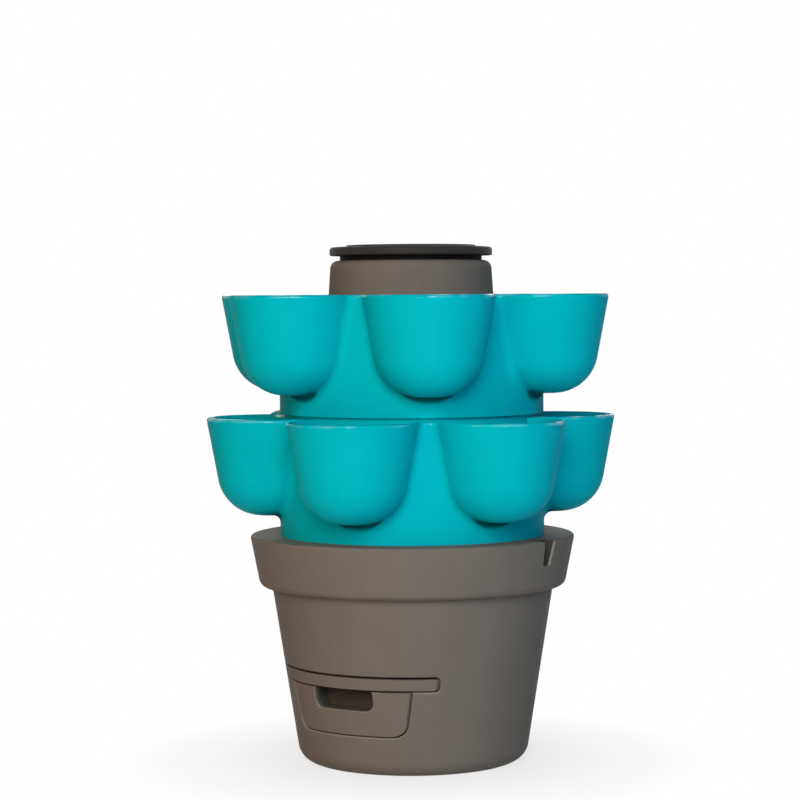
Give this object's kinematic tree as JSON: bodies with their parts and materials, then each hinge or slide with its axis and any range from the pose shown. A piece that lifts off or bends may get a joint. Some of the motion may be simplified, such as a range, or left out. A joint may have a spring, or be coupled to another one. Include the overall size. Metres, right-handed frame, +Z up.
{
  "type": "vertical planter tower",
  "caption": "Round composting planter tower: pot base with front drawer, stacked turning tiers of plant pockets, perforated compost column with plug lid.",
  "frame": {"origin": "on the ground under the tower's axis", "axes": "+Z up along the tower's axis, -Y towards the drawer front, thumb notches on +X and -X"},
  "size_m": [0.605, 0.6054, 0.769],
  "materials": {
    "pot_grey": "satin rotationally moulded polyethylene, warm grey",
    "tier_teal": "satin rotationally moulded polyethylene, teal",
    "lid_charcoal": "fine-grained moulded polypropylene, charcoal",
    "seal_black": "soft black rubber",
    "tube_black": "plain extruded polyethylene, black",
    "inner_grey": "moulded polyethylene, grey",
    "screw_steel": "plain stainless steel"
  },
  "bodies": {
    "base": {"base_pot": "pot_grey", "soil_floor": "inner_grey", "drawer_rail_left": "tube_black", "drawer_rail_right": "tube_black", "rail_screws": "screw_steel", "column_grate": "tube_black", "column_lower": "tube_black", "column_upper": "tube_black", "column_cap": "pot_grey"},
    "lower_tier": {"lower_tier": "tier_teal"},
    "upper_tier": {"upper_tier": "tier_teal"},
    "drawer": {"drawer_tub": "pot_grey", "drawer_flange": "pot_grey", "drawer_screws": "screw_steel"},
    "lid": {"lid": "lid_charcoal", "lid_seal": "seal_black"}
  },
  "joints": [
    {"name": "drawer_slide", "type": "slide", "parent": "base", "child": "drawer", "axis": [0, -1, 0], "range_m": [0, 0.25]},
    {"name": "lower_tier_turn", "type": "hinge", "parent": "base", "child": "lower_tier", "pos_m": [0, 0, 0.337], "axis": [0, 0, 1], "continuous": true},
    {"name": "upper_tier_turn", "type": "hinge", "parent": "lower_tier", "child": "upper_tier", "pos_m": [0, 0, 0.5185], "axis": [0, 0, 1], "continuous": true},
    {"name": "lid_lift", "type": "slide", "parent": "base", "child": "lid", "axis": [0, 0, 1], "range_m": [0, 0.15]}
  ]
}
